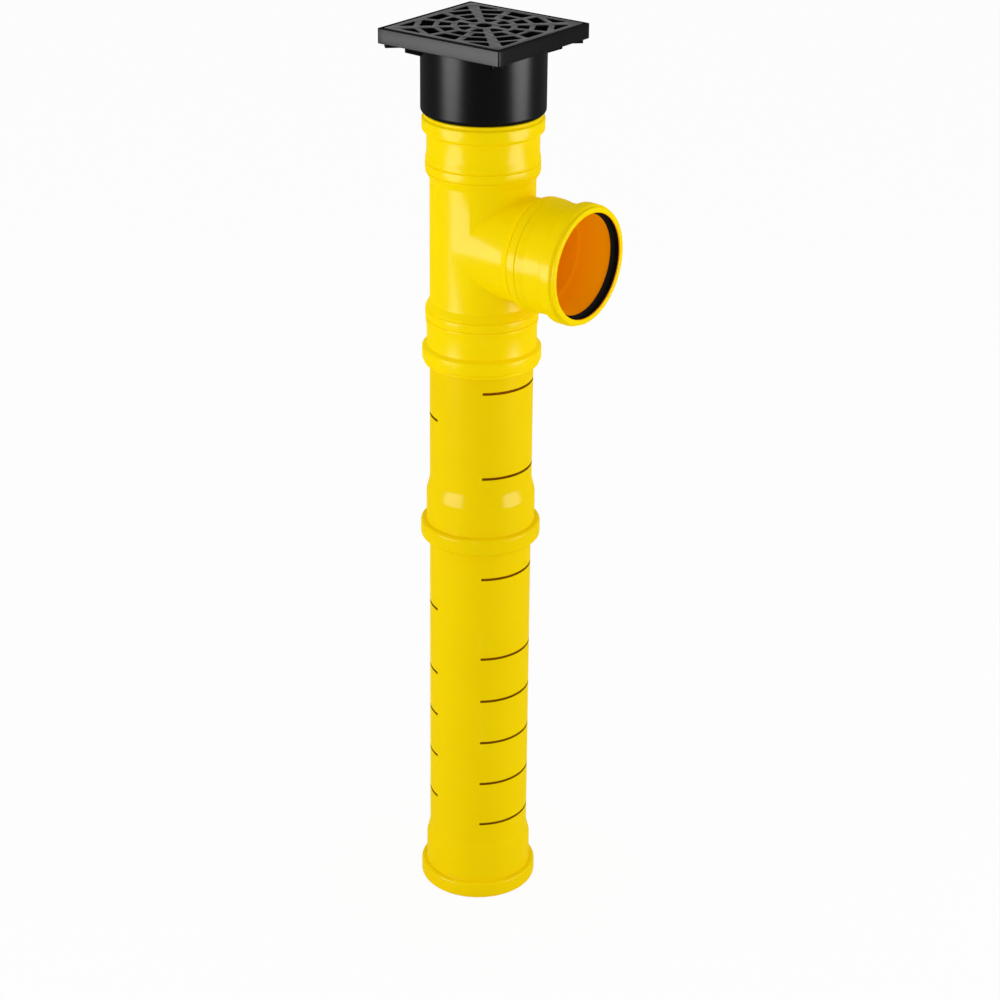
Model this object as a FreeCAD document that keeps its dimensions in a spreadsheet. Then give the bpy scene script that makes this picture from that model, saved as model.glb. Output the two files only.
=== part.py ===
import FreeCAD, Part
import os
import re
import Sketcher

# Soakaway chamber: a square yard gully on a push-fit tee, standing on two slotted drain pipes.
# The origin is on the pipes' common axis, at the mouth of the lowest socket.
# Z is up and the branch points along X.
SIZES = {
    # Plain ends and the play of every push-fit joint.
    "pipe_outer": 110.0,
    "pipe_wall": 3.2,
    "spigot_bevel_length": 6.3,
    "spigot_edge": 0.8,
    "fit_gap": 0.3,
    "stop_gap": 0.3,
    # Seal groove of every socket.
    "bead_wall": 3.2,
    "mouth_lip": 1.5,
    "seal_width": 10.4,
    # Socket that is formed on the end of a pipe.
    "pipe_groove_depth": 6.25,
    "pipe_bead_length": 19.5,
    "pipe_bead_bevel": 3.0,
    "pipe_bell_wall": 3.35,
    "pipe_bell_length": 33.0,
    "pipe_neck_length": 15.0,
    # Saw slots in the pipes, in two rows on opposite sides.
    "slot_width": 3.0,
    "slot_depth": 28.2,
    "slot_row_turn": 9.3,
    "slot_dense_pitch": 52.5,
    "slot_sparse_pitch": 97.0,
    "cutter_margin": 6.0,
    # Lower pipe, with close slots above its socket and wide ones below its head.
    "lower_pipe_length": 490.0,
    "lower_front_first": 93.0,
    "lower_front_count": 5,
    "lower_front_head_drop": 90.0,
    "lower_rear_first": 115.0,
    "lower_rear_count": 4,
    "lower_rear_head_drop": 138.5,
    "lower_rear_head_count": 2,
    # Upper pipe.
    "upper_pipe_length": 252.0,
    "upper_front_first": 87.0,
    "upper_front_count": 2,
    "upper_rear_first": 143.5,
    # Tee, whose branch falls a little outwards, and its three moulded sockets.
    "tee_length": 269.9,
    "tee_branch_reach": 135.0,
    "tee_branch_fall": 1.1,
    "tee_wall": 3.2,
    "tee_socket_depth": 50.2,
    "tee_groove_depth": 4.65,
    "tee_lip_length": 3.2,
    "tee_lip_step": 1.8,
    "tee_bead_length": 19.7,
    "tee_bead_bevel": 1.6,
    "tee_bell_wall": 2.95,
    "tee_bell_length": 20.9,
    "tee_flare_length": 6.9,
    "tee_ring_rise": 1.45,
    "tee_ring_length": 12.7,
    "tee_ring_taper": 9.3,
    # Gully: spigot, sleeve and square frame in one moulding.
    "gully_spigot_relief": 4.0,
    "sleeve_overhang": 1.25,
    "sleeve_wall": 3.5,
    "sleeve_floor": 4.0,
    "sleeve_height": 72.0,
    "sleeve_bevel": 3.2,
    "frame_width": 152.3,
    "frame_skirt": 4.5,
    "frame_wall": 2.0,
    "frame_plate": 3.0,
    "frame_corner_round": 2.0,
    "gusset_inset": 25.0,
    "gusset_root_drop": 14.5,
    "gusset_end_drop": 10.0,
    "gusset_thickness": 3.0,
    "lug_inset": 4.6,
    "lug_length": 16.0,
    "lug_width": 10.0,
    "lug_drop": 4.0,
    # Grate: a web of ribs in a square border, with rings of cells about a hub.
    "grate_gap": 2.4,
    "grate_thickness": 8.0,
    "grate_corner_round": 2.5,
    "grate_border": 6.8,
    "outer_rib_inset": 0.8,
    "outer_rib": 6.0,
    "outer_cell": 13.0,
    "middle_rib": 5.5,
    "middle_cell": 12.0,
    "inner_rib": 6.5,
    "hub_hole": 16.0,
    "hub_rim": 8.0,
    "hub_spoke_width": 7.0,
    "side_spoke_width": 7.6,
    "corner_spoke_hub_width": 6.6,
    "corner_spoke_end_width": 12.5,
}

# Angles that the web of the grate is laid out on.
RING_SIDES = 12
HALF_SECTOR = 180 / RING_SIDES
QUARTERS = 4
DIAGONAL = 45
RIGHT_ANGLE = 90
# Sides of a pipe that its two rows of slots are on, along its own X axis.
FRONT = 1
REAR = -1
# Two places closer than this are the same place.
TOUCH = 1e-4

doc = FreeCAD.newDocument("soakaway_chamber")
sheet = doc.addObject("Spreadsheet::Sheet", "sizes")
for row, (alias, number) in enumerate(SIZES.items(), start=1):
    sheet.set(f"A{row}", alias.replace("_", " "))
    sheet.set(f"B{row}", str(number))
    sheet.setAlias(f"B{row}", alias)
doc.recompute()


def cell_name(word):
    """Name of a size's cell, or the word itself if it is no size."""
    return "sizes." + word if word in SIZES else word


def bound(text):
    """Expression with each size name pointed at its cell."""
    return re.sub(r"[a-z_]+", lambda word: cell_name(word.group()), text)


def value(text):
    """Number that an expression of size names gives."""
    result = sheet.evalExpression(bound(text))
    return float(getattr(result, "Value", result))


def origin_part(body, role):
    """Plane or axis of a body's own origin."""
    return next(part for part in body.Origin.OriginFeatures if part.Role == role)


def new_body(label):
    """Empty body for one piece."""
    return doc.addObject("PartDesign::Body", label)


def new_sketch(body, name, plane):
    """Empty sketch on one of the body's origin planes."""
    sketch = body.newObject("Sketcher::SketchObject", name)
    sketch.AttachmentSupport = (origin_part(body, plane), [""])
    sketch.MapMode = "FlatFace"
    return sketch


def pin(sketch, line, direction, text):
    """Hold a line's first end at a distance from the sketch's origin."""
    if text == "0":
        axis = -2 if direction == "DistanceX" else -1
        sketch.addConstraint(Sketcher.Constraint("PointOnObject", line, 1, axis))
        return
    number = sketch.addConstraint(Sketcher.Constraint(direction, -1, 1, line, 1, value(text)))
    sketch.setExpression(f"Constraints[{number}]", bound(text))


def add_outline(sketch, corners):
    """Closed outline through corners given as (across, up) expressions."""
    first = sketch.GeometryCount
    places = [FreeCAD.Vector(value(across), value(up), 0) for across, up in corners]
    count = len(corners)
    for step in range(count):
        sketch.addGeometry(Part.LineSegment(places[step], places[(step + 1) % count]))
    for step in range(count):
        following = first + (step + 1) % count
        sketch.addConstraint(Sketcher.Constraint("Coincident", first + step, 2, following, 1))
    for step, (across, up) in enumerate(corners):
        pin(sketch, first + step, "DistanceX", across)
        pin(sketch, first + step, "DistanceY", up)


def add_circle(sketch, radius):
    """Circle about the sketch's origin."""
    middle = FreeCAD.Vector(0, 0, 0)
    circle = sketch.addGeometry(Part.Circle(middle, FreeCAD.Vector(0, 0, 1), value(radius)))
    sketch.addConstraint(Sketcher.Constraint("Coincident", circle, 3, -1, 1))
    number = sketch.addConstraint(Sketcher.Constraint("Radius", circle, value(radius)))
    sketch.setExpression(f"Constraints[{number}]", bound(radius))


def square(half):
    """Corners of a square about the sketch's origin."""
    return [(f"-({half})", f"-({half})"), (half, f"-({half})"), (half, half), (f"-({half})", half)]


def bar(start, end, start_width, end_width):
    """Corners of a bar along the sketch's first axis."""
    return [
        (start, f"-({start_width}) / 2"),
        (end, f"-({end_width}) / 2"),
        (end, f"({end_width}) / 2"),
        (start, f"({start_width}) / 2"),
    ]


def turned(corners, degrees):
    """Corners turned about the sketch's origin."""
    return [
        (
            f"({across}) * cos({degrees}) - ({up}) * sin({degrees})",
            f"({across}) * sin({degrees}) + ({up}) * cos({degrees})",
        )
        for across, up in corners
    ]


def raise_sketch(sketch, height):
    """Move a sketch along its own normal."""
    sketch.setExpression("AttachmentOffset.Base.z", bound(height))


def revolve(body, name, corners, kind="Revolution", axis="V_Axis", lift=None, fall=None, degrees=360):
    """Turn an outline about one of its sketch's axes, evenly to both sides of the XZ plane."""
    sketch = new_sketch(body, name + "_outline", "XZ_Plane")
    if fall:
        downwards = FreeCAD.Vector(0, 0, -1)
        sketch.AttachmentOffset = FreeCAD.Placement(FreeCAD.Vector(), downwards, value(fall))
        sketch.setExpression("AttachmentOffset.Rotation.Angle", bound(fall))
    if lift:
        sketch.setExpression("AttachmentOffset.Base.y", bound(lift))
    add_outline(sketch, corners)
    feature = body.newObject("PartDesign::" + kind, name)
    feature.Profile = sketch
    feature.ReferenceAxis = (sketch, [axis])
    feature.Angle = degrees
    feature.Midplane = True
    doc.recompute()
    return feature


def raised(body, name, sketch, length, kind="Pad", symmetric=False, downward=False):
    """Pad or pocket of a sketch with its length bound to the sheet."""
    feature = body.newObject("PartDesign::" + kind, name)
    feature.Profile = sketch
    feature.setExpression("Length", bound(length))
    feature.SideType = "Symmetric" if symmetric else "One side"
    feature.Reversed = downward
    doc.recompute()
    return feature


def around(body, name, features, count):
    """Repeat features evenly about the body's Z axis."""
    pattern = body.newObject("PartDesign::PolarPattern", name)
    pattern.Originals = features
    pattern.Axis = (origin_part(body, "Z_Axis"), [""])
    pattern.Angle = 360
    pattern.Occurrences = count
    body.Tip = pattern
    doc.recompute()


def rounded(body, name, radius, wanted):
    """Fillet the edges of the body that pass a test."""
    base = body.Tip
    edges = [f"Edge{number}" for number, edge in enumerate(base.Shape.Edges, start=1) if wanted(edge)]
    fillet = body.newObject("PartDesign::Fillet", name)
    fillet.Base = (base, edges)
    fillet.setExpression("Radius", bound(radius))
    doc.recompute()


def upright_edge(half):
    """Test for the upright edges at the corners of a square."""
    reach = value(half)

    def test(edge):
        middle = edge.CenterOfMass
        on_corner = abs(abs(middle.x) - reach) < TOUCH and abs(abs(middle.y) - reach) < TOUCH
        return on_corner and edge.BoundBox.ZLength > TOUCH

    return test


def put(body, height):
    """Place a body on the common axis."""
    body.setExpression("Placement.Base.z", bound(height))


def turn(body, degrees):
    """Turn a body about the common axis."""
    body.Placement = FreeCAD.Placement(FreeCAD.Vector(), FreeCAD.Vector(0, 0, 1), value(degrees))
    body.setExpression("Placement.Rotation.Angle", bound(degrees))


# Radii that several pieces share.
PIPE = "pipe_outer / 2"
PIPE_BORE = f"({PIPE} - pipe_wall)"
SPIGOT_TIP = f"({PIPE_BORE} + spigot_edge)"
SOCKET_BORE = f"({PIPE} + fit_gap)"
PIPE_GROOVE = f"({SOCKET_BORE} + pipe_groove_depth)"
PIPE_BEAD = f"({PIPE_GROOVE} + bead_wall)"
PIPE_BELL = f"({SOCKET_BORE} + pipe_bell_wall)"
TEE_BORE = f"({PIPE} - tee_wall)"
TEE_GROOVE = f"({SOCKET_BORE} + tee_groove_depth)"
TEE_BEAD = f"({TEE_GROOVE} + bead_wall)"
TEE_LIP = f"({TEE_BEAD} - tee_lip_step)"
TEE_BELL = f"({SOCKET_BORE} + tee_bell_wall)"
TEE_RING = f"({TEE_BELL} + tee_ring_rise)"

# Depths in the sockets, and heights at which the pieces sit on each other.
GROOVE_END = "(mouth_lip + seal_width)"
PIPE_SOCKET = "(pipe_bead_length + pipe_bell_length)"
PIPE_INSERT = f"({PIPE_SOCKET} + spigot_bevel_length - stop_gap)"
TEE_INSERT = "(tee_socket_depth - stop_gap)"
UPPER_MOUTH = f"(lower_pipe_length - {PIPE_INSERT})"
TEE_MOUTH = f"({UPPER_MOUTH} + upper_pipe_length - {TEE_INSERT})"
TEE_MIDDLE = "(tee_length / 2)"
GULLY_SHOULDER = f"({TEE_MOUTH} + tee_length + stop_gap)"


def slot_row(body, name, side, first, count="", pitch=""):
    """Saw slots above each other on one side of a pipe, or a single slot."""
    sketch = new_sketch(body, name + "_outline", "XY_Plane")
    raise_sketch(sketch, first)
    reach = f"({PIPE} + cutter_margin)"
    chord = f"({PIPE} - slot_depth)"
    add_outline(sketch, bar(f"{side} * {chord}", f"{side} * {reach}", f"2 * {reach}", f"2 * {reach}"))
    solid = body.Shape.Volume
    pocket = raised(body, name, sketch, "slot_width", "Pocket", symmetric=True)
    if body.Shape.Volume >= solid:
        raise RuntimeError(name + " cuts nothing")
    if not count:
        return
    pattern = body.newObject("PartDesign::LinearPattern", name + "_pattern")
    pattern.Originals = [pocket]
    pattern.Direction = (origin_part(body, "Z_Axis"), [""])
    pattern.setExpression("Length", bound(f"{pitch} * ({count} - 1)"))
    pattern.setExpression("Occurrences", bound(count))
    body.Tip = pattern
    doc.recompute()


def slotted_pipe(label, length, rows):
    """Pipe with a socket at its foot, a bevelled spigot at its head and rows of slots."""
    body = new_body(label)
    neck_top = f"({PIPE_SOCKET} + pipe_neck_length)"
    revolve(body, label + "_socket", [
        (SOCKET_BORE, "0"),
        (f"{PIPE_BEAD} - pipe_bead_bevel", "0"),
        (PIPE_BEAD, "pipe_bead_bevel"),
        (PIPE_BEAD, "pipe_bead_length - pipe_bead_bevel"),
        (f"{PIPE_BEAD} - pipe_bead_bevel", "pipe_bead_length"),
        (PIPE_BELL, "pipe_bead_length"),
        (PIPE_BELL, PIPE_SOCKET),
        (PIPE, neck_top),
        (PIPE_BORE, neck_top),
        (SOCKET_BORE, PIPE_SOCKET),
        (SOCKET_BORE, GROOVE_END),
        (PIPE_GROOVE, GROOVE_END),
        (PIPE_GROOVE, "mouth_lip"),
        (SOCKET_BORE, "mouth_lip"),
    ])
    # The slotted wall is four quarters whose joints stay as edges, so that its meshes stay round.
    quarter = revolve(body, label + "_wall_quarter", [
        (PIPE_BORE, neck_top),
        (PIPE, neck_top),
        (PIPE, f"{length} - spigot_bevel_length"),
        (SPIGOT_TIP, length),
        (PIPE_BORE, length),
    ], degrees=360 / QUARTERS)
    around(body, label + "_wall", [quarter], QUARTERS)
    for name, *row in rows:
        slot_row(body, f"{label}_{name}", *row)
    for step in body.Group:
        if "Refine" in step.PropertiesList:
            step.Refine = False
    turn(body, "slot_row_turn")
    doc.recompute()
    return body


def seal_ring(label, groove):
    """Rubber ring that fills a socket's groove and ends flush with its bore."""
    body = new_body(label)
    revolve(body, label + "_section", [
        (SOCKET_BORE, "mouth_lip"),
        (groove, "mouth_lip"),
        (groove, GROOVE_END),
        (SOCKET_BORE, GROOVE_END),
    ])
    return body


LOWER_FRONT_HEAD = "(lower_pipe_length - lower_front_head_drop)"
LOWER_REAR_HEAD = "(lower_pipe_length - lower_rear_head_drop)"
lower_pipe = slotted_pipe("lower_pipe", "lower_pipe_length", [
    ("front_slots", FRONT, "lower_front_first", "lower_front_count", "slot_dense_pitch"),
    ("front_head_slot", FRONT, LOWER_FRONT_HEAD),
    ("rear_slots", REAR, "lower_rear_first", "lower_rear_count", "slot_dense_pitch"),
    ("rear_head_slots", REAR, LOWER_REAR_HEAD, "lower_rear_head_count", "slot_sparse_pitch"),
])
lower_pipe_seal = seal_ring("lower_pipe_seal", PIPE_GROOVE)

upper_pipe = slotted_pipe("upper_pipe", "upper_pipe_length", [
    ("front_slots", FRONT, "upper_front_first", "upper_front_count", "slot_sparse_pitch"),
    ("rear_slot", REAR, "upper_rear_first"),
])
put(upper_pipe, UPPER_MOUTH)
upper_pipe_seal = seal_ring("upper_pipe_seal", PIPE_GROOVE)
put(upper_pipe_seal, UPPER_MOUTH)


def from_foot(depth):
    """Height in the tee at a depth below its lower mouth."""
    return depth


def from_head(depth):
    """Height in the tee at a depth below its upper mouth."""
    return f"(tee_length - ({depth}))"


def from_branch(depth):
    """Distance from the tee's axis at a depth below its branch mouth."""
    return f"(tee_branch_reach - ({depth}))"


def socket_wall(place):
    """Outside of a moulded socket from its mouth to the tee's body, as (radius, place)."""
    bell_end = "tee_bead_length + tee_bell_length"
    ring_start = f"{bell_end} + tee_flare_length"
    ring_end = f"{ring_start} + tee_ring_length"
    return [
        (TEE_LIP, place("0")),
        (TEE_LIP, place("tee_lip_length")),
        (TEE_BEAD, place("tee_lip_length + tee_bead_bevel")),
        (TEE_BEAD, place("tee_bead_length - tee_bead_bevel")),
        (f"{TEE_BEAD} - tee_bead_bevel", place("tee_bead_length")),
        (TEE_BELL, place("tee_bead_length")),
        (TEE_BELL, place(bell_end)),
        (TEE_RING, place(ring_start)),
        (TEE_RING, place(ring_end)),
        (PIPE, place(f"{ring_end} + tee_ring_taper")),
    ]


def socket_hollow(place):
    """Inside of a moulded socket from its mouth to its stop, as (radius, place) pairs."""
    return [
        (SOCKET_BORE, place("0")),
        (SOCKET_BORE, place("mouth_lip")),
        (TEE_GROOVE, place("mouth_lip")),
        (TEE_GROOVE, place(GROOVE_END)),
        (SOCKET_BORE, place(GROOVE_END)),
        (SOCKET_BORE, place("tee_socket_depth")),
        (TEE_BORE, place("tee_socket_depth")),
    ]


def main_run(socket):
    """Outline of the tee's upright run, closed on its axis."""
    return [("0", "0")] + socket(from_foot) + socket(from_head)[::-1] + [("0", "tee_length")]


def revolve_branch(name, socket, radius, kind):
    """Branch along X that falls outwards from the middle of the tee's upright run."""
    side = [(place, across) for across, place in socket(from_branch)]
    outline = [("0", "0"), ("tee_branch_reach", "0")] + side + [("0", radius)]
    revolve(tee, name, outline, kind, "H_Axis", TEE_MIDDLE, "tee_branch_fall")


tee = new_body("tee")
revolve(tee, "tee_main_wall", main_run(socket_wall))
revolve_branch("tee_branch_wall", socket_wall, PIPE, "Revolution")
solid_tee = tee.Shape.Volume
revolve(tee, "tee_main_bore", main_run(socket_hollow), "Groove")
bored_tee = tee.Shape.Volume
revolve_branch("tee_branch_bore", socket_hollow, TEE_BORE, "Groove")
if not solid_tee > bored_tee > tee.Shape.Volume:
    raise RuntimeError("the tee's bores cut nothing")
put(tee, TEE_MOUTH)

tee_bottom_seal = seal_ring("tee_bottom_seal", TEE_GROOVE)
put(tee_bottom_seal, TEE_MOUTH)
tee_top_seal = seal_ring("tee_top_seal", TEE_GROOVE)
tee_top_seal.Placement = FreeCAD.Placement(FreeCAD.Vector(), FreeCAD.Rotation(FreeCAD.Vector(1, 0, 0), 180))
put(tee_top_seal, f"{TEE_MOUTH} + tee_length")
branch_seal = seal_ring("branch_seal", TEE_GROOVE)
INWARDS = f"{RIGHT_ANGLE} - tee_branch_fall"
branch_seal.Placement = FreeCAD.Placement(FreeCAD.Vector(), FreeCAD.Vector(0, -1, 0), value(INWARDS))
branch_seal.setExpression("Placement.Rotation.Angle", bound(INWARDS))
branch_seal.setExpression("Placement.Base.x", bound("tee_branch_reach * cos(tee_branch_fall)"))
put(branch_seal, f"{TEE_MOUTH} + {TEE_MIDDLE} - tee_branch_reach * sin(tee_branch_fall)")

# Heights in the gully above its shoulder, then its radii and half widths.
PLATE_UNDER = "(sleeve_height + frame_skirt)"
TRAY_FLOOR = f"({PLATE_UNDER} + frame_plate)"
FRAME_TOP = f"({TRAY_FLOOR} + grate_thickness)"
SPIGOT_FOOT = "(gully_spigot_relief - tee_socket_depth)"
SLEEVE = f"({TEE_BEAD} + sleeve_overhang)"
SLEEVE_BORE = f"({SLEEVE} - sleeve_wall)"
FRAME_HALF = "frame_width / 2"
TRAY_HALF = f"({FRAME_HALF} - frame_wall)"

gully_body = new_body("gully_body")
sketch = new_sketch(gully_body, "frame_outline", "XY_Plane")
raise_sketch(sketch, "sleeve_height")
add_outline(sketch, square(FRAME_HALF))
raised(gully_body, "frame_block", sketch, f"{FRAME_TOP} - sleeve_height")
rounded(gully_body, "frame_corners", "frame_corner_round", upright_edge(FRAME_HALF))
block = gully_body.Shape.Volume
sketch = new_sketch(gully_body, "tray_outline", "XY_Plane")
raise_sketch(sketch, FRAME_TOP)
add_outline(sketch, square(TRAY_HALF))
raised(gully_body, "grate_tray", sketch, "grate_thickness", "Pocket")
tray = gully_body.Shape.Volume
sketch = new_sketch(gully_body, "underside_outline", "XY_Plane")
raise_sketch(sketch, "sleeve_height")
add_outline(sketch, square(TRAY_HALF))
raised(gully_body, "frame_underside", sketch, "frame_skirt", "Pocket", downward=True)
if not block > tray > gully_body.Shape.Volume:
    raise RuntimeError("the gully's frame is not hollow")
revolve(gully_body, "sleeve_and_spigot", [
    (PIPE_BORE, SPIGOT_FOOT),
    (SPIGOT_TIP, SPIGOT_FOOT),
    (PIPE, f"{SPIGOT_FOOT} + spigot_bevel_length"),
    (PIPE, "0"),
    (f"{SLEEVE} - sleeve_bevel", "0"),
    (SLEEVE, "sleeve_bevel"),
    (SLEEVE, TRAY_FLOOR),
    (SLEEVE_BORE, TRAY_FLOOR),
    (SLEEVE_BORE, "sleeve_floor"),
    (PIPE_BORE, "sleeve_floor"),
])
plated = gully_body.Shape.Volume
sketch = new_sketch(gully_body, "sleeve_opening_outline", "XY_Plane")
raise_sketch(sketch, TRAY_FLOOR)
add_circle(sketch, SLEEVE_BORE)
raised(gully_body, "sleeve_opening", sketch, "frame_plate", "Pocket")
if gully_body.Shape.Volume >= plated:
    raise RuntimeError("the sleeve's opening cuts nothing")


def corner_rib(name, root, end, root_drop, end_drop, thickness):
    """Upright rib under the frame on the line from the axis to a corner."""
    sketch = new_sketch(gully_body, name + "_outline", "XZ_Plane")
    sketch.AttachmentOffset = FreeCAD.Placement(FreeCAD.Vector(), FreeCAD.Vector(0, 1, 0), DIAGONAL)
    add_outline(sketch, [
        (root, PLATE_UNDER),
        (root, f"sleeve_height - {root_drop}"),
        (end, f"sleeve_height - {end_drop}"),
        (end, PLATE_UNDER),
    ])
    return raised(gully_body, name, sketch, thickness, symmetric=True)


TRAY_CORNER = f"{TRAY_HALF} / cos({DIAGONAL})"
GUSSET_ROOT = f"({SLEEVE} - sleeve_wall / 2)"
GUSSET_END = f"({TRAY_CORNER} - gusset_inset)"
LUG_END = f"({TRAY_CORNER} - lug_inset)"
gusset_drops = "gusset_root_drop", "gusset_end_drop"
gusset = corner_rib("gusset", GUSSET_ROOT, GUSSET_END, *gusset_drops, "gusset_thickness")
lug = corner_rib("lug", f"({LUG_END} - lug_length)", LUG_END, "lug_drop", "lug_drop", "lug_width")
around(gully_body, "corner_supports", [gusset, lug], QUARTERS)
put(gully_body, GULLY_SHOULDER)

# Half widths of the grate, then the radii of its rings from the border inwards.
GRATE_HALF = f"({TRAY_HALF} - grate_gap)"
WEB_HALF = f"({GRATE_HALF} - grate_border)"
BORDER_MIDDLE = f"({WEB_HALF} + grate_border / 2)"
OUTER_START = f"({WEB_HALF} - outer_rib_inset)"
OUTER_END = f"({OUTER_START} + outer_rib)"
MIDDLE_END = f"({OUTER_START} - outer_cell)"
MIDDLE_START = f"({MIDDLE_END} - middle_rib)"
INNER_END = f"({MIDDLE_START} - middle_cell)"
INNER_START = f"({INNER_END} - inner_rib)"
HUB_HOLE = "hub_hole / 2"


def ring_side(start, end):
    """One straight side of a ring of ribs."""
    return bar(start, end, f"2 * {start} * tan({HALF_SECTOR})", f"2 * {end} * tan({HALF_SECTOR})")


grate = new_body("grate")
sketch = new_sketch(grate, "border_outline", "XY_Plane")
add_outline(sketch, square(GRATE_HALF))
raised(grate, "border", sketch, "grate_thickness")
rounded(grate, "border_corners", "grate_corner_round", upright_edge(GRATE_HALF))
whole_plate = grate.Shape.Volume
sketch = new_sketch(grate, "web_area_outline", "XY_Plane")
raise_sketch(sketch, "grate_thickness")
add_outline(sketch, square(WEB_HALF))
raised(grate, "web_area", sketch, "grate_thickness", "Pocket")
if grate.Shape.Volume >= whole_plate:
    raise RuntimeError("the grate's border is not open")
sketch = new_sketch(grate, "corner_spoke_outline", "XY_Plane")
corner = f"{BORDER_MIDDLE} / cos({DIAGONAL})"
shoulder = f"{corner} - corner_spoke_end_width / 2"
add_outline(sketch, turned([
    (HUB_HOLE, "-corner_spoke_hub_width / 2"),
    (shoulder, "-corner_spoke_end_width / 2"),
    (corner, "0"),
    (shoulder, "corner_spoke_end_width / 2"),
    (HUB_HOLE, "corner_spoke_hub_width / 2"),
], DIAGONAL))
corner_spoke = raised(grate, "corner_spoke", sketch, "grate_thickness")
around(grate, "corner_spokes", [corner_spoke], QUARTERS)
sketch = new_sketch(grate, "hub_outline", "XY_Plane")
add_circle(sketch, f"{HUB_HOLE} + hub_rim")
raised(grate, "hub", sketch, "grate_thickness")
sketch = new_sketch(grate, "side_spoke_outline", "XY_Plane")
spoke_end = f"{BORDER_MIDDLE} / cos({HALF_SECTOR})"
spoke = bar(INNER_START, spoke_end, "side_spoke_width", "side_spoke_width")
add_outline(sketch, turned(spoke, HALF_SECTOR))
add_outline(sketch, turned(spoke, -HALF_SECTOR))
side_spokes = raised(grate, "side_spoke_pair", sketch, "grate_thickness")
around(grate, "side_spokes", [side_spokes], QUARTERS)
sketch = new_sketch(grate, "ring_sides_outline", "XY_Plane")
add_outline(sketch, ring_side(INNER_START, INNER_END))
add_outline(sketch, ring_side(MIDDLE_START, MIDDLE_END))
add_outline(sketch, ring_side(OUTER_START, OUTER_END))
ring_sides = raised(grate, "ring_sides", sketch, "grate_thickness")
around(grate, "rings", [ring_sides], RING_SIDES)
sketch = new_sketch(grate, "hub_spoke_outline", "XY_Plane")
add_outline(sketch, bar(HUB_HOLE, f"{INNER_START} + inner_rib / 2", "hub_spoke_width", "hub_spoke_width"))
hub_spoke = raised(grate, "hub_spoke", sketch, "grate_thickness")
around(grate, "hub_spokes", [hub_spoke], QUARTERS)
sketch = new_sketch(grate, "hub_hole_outline", "XY_Plane")
raise_sketch(sketch, "grate_thickness")
add_circle(sketch, HUB_HOLE)
raised(grate, "hub_opening", sketch, "grate_thickness", "Pocket")
put(grate, f"{GULLY_SHOULDER} + {TRAY_FLOOR}")

doc.recompute()
pieces = [
    grate, gully_body, tee, tee_top_seal, branch_seal, tee_bottom_seal,
    upper_pipe, upper_pipe_seal, lower_pipe, lower_pipe_seal,
]
for item in doc.Objects:
    if "Invalid" in item.State or "Error" in item.State:
        raise RuntimeError(f"{item.Label} failed: {item.State}")
for piece in pieces:
    if piece.Shape.isNull() or not piece.Shape.isValid() or len(piece.Shape.Solids) != 1:
        raise RuntimeError(f"{piece.Label} is not one sound solid")
os.makedirs("parts", exist_ok=True)
for piece in pieces:
    piece.Shape.exportStep(f"parts/{piece.Label}.step")
    print(piece.Label, round(piece.Shape.Volume / 1000, 2), "cm3", piece.Shape.BoundBox)
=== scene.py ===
import bmesh
import bpy
import numpy as np
from mathutils import Matrix


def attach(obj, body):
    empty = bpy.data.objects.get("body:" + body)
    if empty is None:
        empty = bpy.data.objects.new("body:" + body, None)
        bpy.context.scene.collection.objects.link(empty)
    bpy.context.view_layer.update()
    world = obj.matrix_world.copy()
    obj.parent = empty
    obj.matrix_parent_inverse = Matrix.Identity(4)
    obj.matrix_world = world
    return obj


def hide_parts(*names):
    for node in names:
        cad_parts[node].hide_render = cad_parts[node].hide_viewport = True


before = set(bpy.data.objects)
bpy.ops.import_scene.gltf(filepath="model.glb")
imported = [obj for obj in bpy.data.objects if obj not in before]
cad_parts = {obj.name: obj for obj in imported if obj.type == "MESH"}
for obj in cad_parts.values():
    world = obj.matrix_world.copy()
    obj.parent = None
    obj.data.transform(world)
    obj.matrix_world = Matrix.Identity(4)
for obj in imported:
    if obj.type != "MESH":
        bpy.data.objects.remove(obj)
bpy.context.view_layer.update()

# Lower drain pipe: hard yellow PVC drawn through a die, with a socket formed on its foot while warm.
# A saw has cut two rows of slots on opposite sides, and the head is bevelled to enter the next socket.
# Sizes are in millimetres: walls, beads, bells and grooves by their radius, heights above the mouth.
MM = 0.001
TINY = 1e-6
CREASE_ANGLE = np.radians(32)
PIPE_OUTSIDE = 55.0
PIPE_INSIDE = 51.8
SOCKET_INSIDE = 55.3
PIPE_GROOVE = 61.55
PIPE_BEAD = 64.75
PIPE_BELL = 58.65
PIPE_BEAD_LENGTH = 19.5
PIPE_SOCKET_DEPTH = 52.5
PIPE_NECK_TOP = 67.5
BEAD_FOOT_ROUND = 4.2
BEAD_TOP_ROUND = 3.4
BELL_FOOT_ROUND = 0.7
BELL_TOP_ROUND = 5.0
NECK_ROUND = 16.0
MOUTH_FACE = SOCKET_INSIDE + 1.0
MOUTH_ROUND = 0.8
GROOVE_START = 1.5
GROOVE_END = 11.9
GROOVE_ROUNDS = (0.4, 0.6, 0.5, 0.3)
SPIGOT_BEVEL = 6.3
SPIGOT_TIP = 52.6
BEVEL_ROUND = 6.0
TIP_ROUND = 0.5
HEAD_ROUND = 0.3
SLOT_HALF_WIDTH = 1.5
SLOT_CHORD = 26.8
SLOT_MARGIN = 3.0
SLOT_ROW_TURN = np.radians(9.3)
SLOT_COLUMNS = 64
GAP_COLUMNS = 32
FRONT_COLUMNS = np.arange(SLOT_COLUMNS)
REAR_COLUMNS = FRONT_COLUMNS + SLOT_COLUMNS + GAP_COLUMNS
LOWER_PIPE_LENGTH = 490.0
LOWER_FRONT_SLOTS = [93.0, 145.5, 198.0, 250.5, 303.0, 400.0]
LOWER_REAR_SLOTS = [115.0, 167.5, 220.0, 272.5, 351.5, 448.5]


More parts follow.
